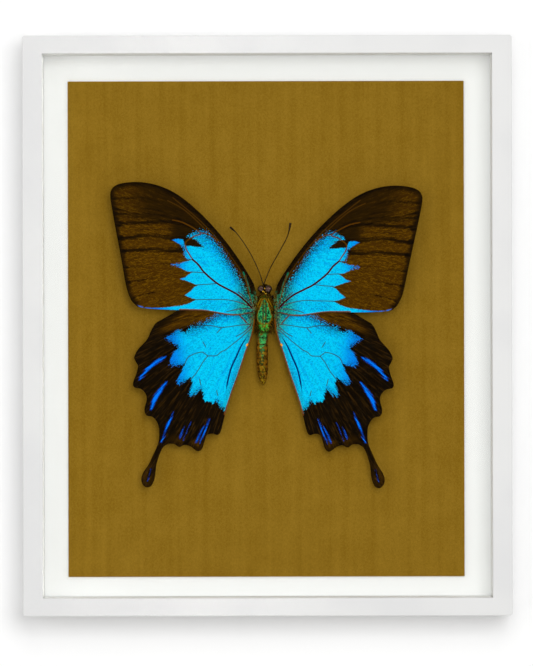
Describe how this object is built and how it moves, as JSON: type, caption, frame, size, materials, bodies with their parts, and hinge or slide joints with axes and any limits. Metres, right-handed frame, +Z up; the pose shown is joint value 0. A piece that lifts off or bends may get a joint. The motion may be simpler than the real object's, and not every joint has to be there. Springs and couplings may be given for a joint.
{
  "type": "framed butterfly specimen",
  "caption": "Wall-hung white shadow-box frame holding a set blue swallowtail butterfly on an ochre card behind glass.",
  "frame": {"origin": "the point on the wall where the nail carries the sawtooth hanger, on the plane of the frame's back edge and on its middle line", "axes": "+X to the viewer's right, +Z up, and the glass faces -Y, so +Y points into the wall"},
  "size_m": [0.19, 0.03, 0.2254],
  "materials": {
    "white_paint": "satin white lacquer on wood",
    "glass": "clear picture glass",
    "white_board": "matt white mount board",
    "ochre_card": "matt ochre paper with fine mottling",
    "hardboard": "smooth brown hardboard",
    "steel": "plain zinc-plated steel",
    "brass": "brass-plated rivet",
    "blue_wing": "iridescent blue scales in dark brown margins",
    "insect_body": "brown hair with green scales"
  },
  "bodies": {
    "root": {"frame_rail_top": "white_paint", "frame_rail_bottom": "white_paint", "frame_stile_left": "white_paint", "frame_stile_right": "white_paint", "glass": "glass", "spacer_top": "white_board", "spacer_bottom": "white_board", "spacer_left": "white_board", "spacer_right": "white_board", "mount_board": "white_board", "ochre_card": "ochre_card", "back_panel": "hardboard", "back_tab_1": "steel", "back_tab_2": "steel", "back_tab_3": "steel", "back_tab_4": "steel", "back_tab_5": "steel", "back_tab_6": "steel", "back_tab_7": "steel", "back_tab_8": "steel", "sawtooth_hanger": "steel", "hanger_rivet_left": "brass", "hanger_rivet_right": "brass", "mounting_pin": "steel", "body": "insect_body", "antenna_left": "insect_body", "antenna_right": "insect_body", "forewing_left": "blue_wing", "forewing_right": "blue_wing", "hindwing_left": "blue_wing", "hindwing_right": "blue_wing"}
  },
  "joints": []
}
